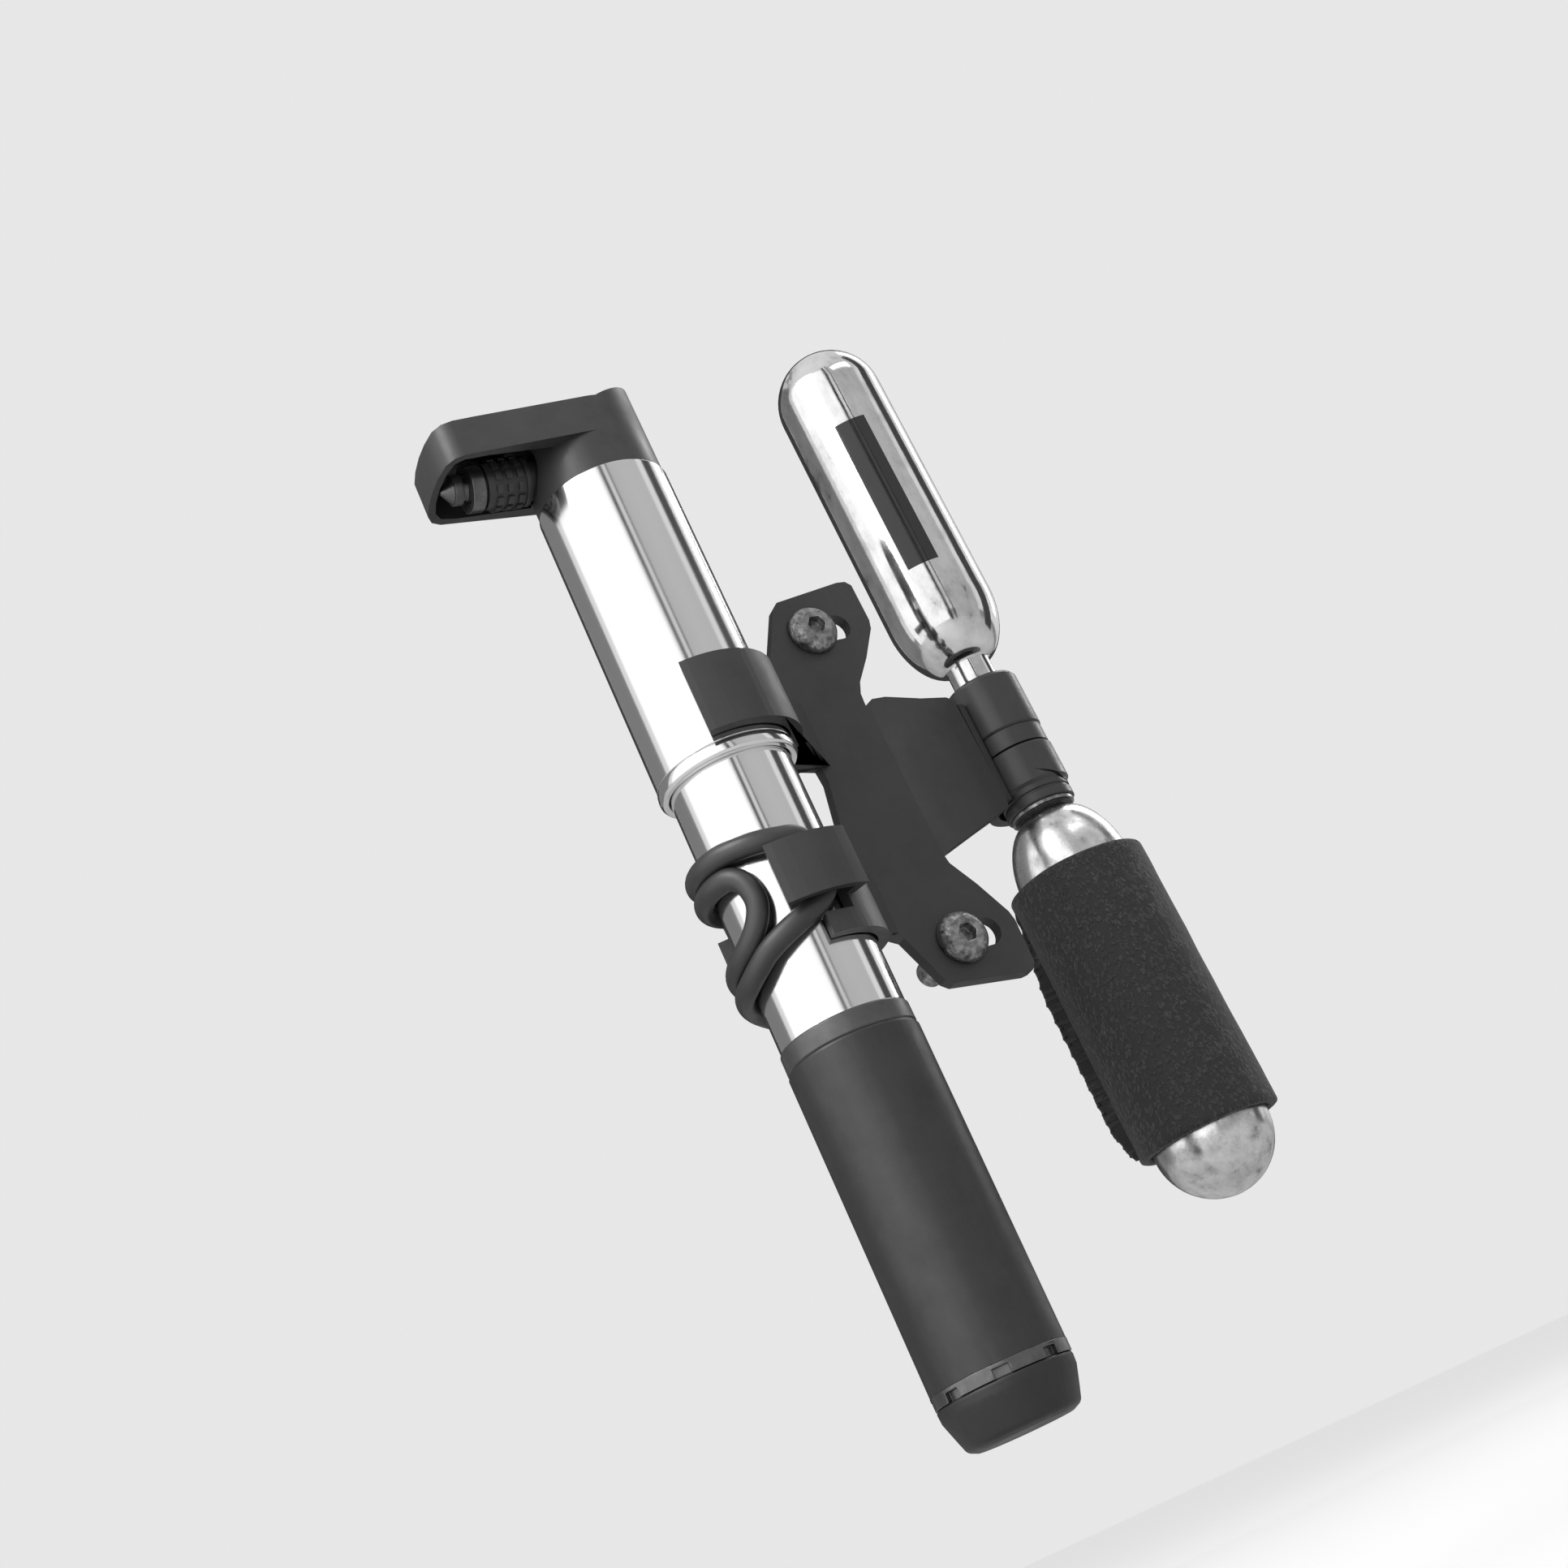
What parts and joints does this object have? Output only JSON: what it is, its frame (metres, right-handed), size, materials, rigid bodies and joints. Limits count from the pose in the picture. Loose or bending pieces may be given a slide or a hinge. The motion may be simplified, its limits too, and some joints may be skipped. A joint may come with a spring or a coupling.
{
  "type": "mini bicycle pump with co2 inflator and frame bracket",
  "caption": "Mini bicycle pump with hooded head and sliding handle, clipped with a CO2 inflator and its threaded cartridges on a frame bracket.",
  "frame": {"origin": "back face of the bracket, midway between the two frame bolts", "axes": "+Z runs along the pump from the handle to the head, +Y points out of the bracket's back into the frame tube, +X points from the pump to the inflator"},
  "size_m": [0.1132, 0.0519, 0.2114],
  "materials": {
    "bracket_plastic": "matt moulded",
    "bolt_steel": "worn zinc plate",
    "strap_rubber": "satin",
    "head_metal": "satin dark anodised",
    "chrome_tube": "polished",
    "collar_metal": "satin",
    "grip_metal": "satin dark anodised",
    "plain_alloy": "machined",
    "cap_plastic": "matt",
    "guide_plastic": "smooth",
    "seal_rubber": "smooth",
    "inflator_metal": "satin dark anodised",
    "cartridge_steel": "plated",
    "sleeve_fabric": "knit over foam"
  },
  "bodies": {
    "bracket": {"bracket": "bracket_plastic", "bracket_bolts": "bolt_steel", "rubber_strap": "strap_rubber"},
    "pump": {"pump_head": "head_metal", "barrel": "chrome_tube", "barrel_end_ring": "chrome_tube", "head_seal": "seal_rubber", "piston_rod": "plain_alloy", "piston": "guide_plastic", "piston_seal": "seal_rubber", "check_valve": "seal_rubber", "chuck_neck": "head_metal"},
    "chuck": {"chuck_sleeve": "head_metal", "chuck_flange": "plain_alloy", "chuck_ring": "collar_metal", "chuck_plug": "plain_alloy", "chuck_gasket": "seal_rubber"},
    "handle": {"inner_tube": "chrome_tube", "tube_guide": "guide_plastic", "handle_collar": "collar_metal", "handle_grip": "grip_metal", "lock_ring": "plain_alloy", "end_cap": "cap_plastic", "tube_plug": "plain_alloy"},
    "inflator": {"inflator_body": "inflator_metal", "spare_socket": "inflator_metal", "piercing_pin": "plain_alloy", "inlet_gasket": "seal_rubber", "outlet_gasket": "seal_rubber", "body_o_ring": "seal_rubber", "ring_clip": "bolt_steel"},
    "control": {"control_ring": "inflator_metal"},
    "spare": {"spare_cartridge": "cartridge_steel"},
    "loaded": {"loaded_cartridge": "cartridge_steel"},
    "sleeve": {"thermal_sleeve": "sleeve_fabric"}
  },
  "joints": [
    {"name": "pump_release", "type": "slide", "parent": "bracket", "child": "pump", "axis": [-0.8829, 0.4695, 0], "range_m": [0, 0.045], "deforming": ["rubber_strap"]},
    {"name": "chuck_turn", "type": "hinge", "parent": "pump", "child": "chuck", "pos_m": [-0.0537, -0.0114, 0.067], "axis": [-1, 0, 0], "range_deg": [0, 90]},
    {"name": "pump_stroke", "type": "slide", "parent": "pump", "child": "handle", "axis": [0, 0, -1], "range_m": [0, 0.04]},
    {"name": "inflator_release", "type": "slide", "parent": "bracket", "child": "inflator", "axis": [0.3907, -0.9205, 0], "range_m": [0, 0.035]},
    {"name": "control_turn", "type": "hinge", "parent": "inflator", "child": "control", "pos_m": [0.0369, 0.0098, 0], "axis": [0, 0, 1], "range_deg": [0, 90]},
    {"name": "spare_unscrew", "type": "slide", "parent": "inflator", "child": "spare", "axis": [0, 0, 1], "range_m": [0, 0.014]},
    {"name": "loaded_unscrew", "type": "slide", "parent": "inflator", "child": "loaded", "axis": [0, 0, -1], "range_m": [0, 0.014]},
    {"name": "sleeve_slide", "type": "slide", "parent": "loaded", "child": "sleeve", "axis": [0, 0, -1], "range_m": [0, 0.055]}
  ]
}
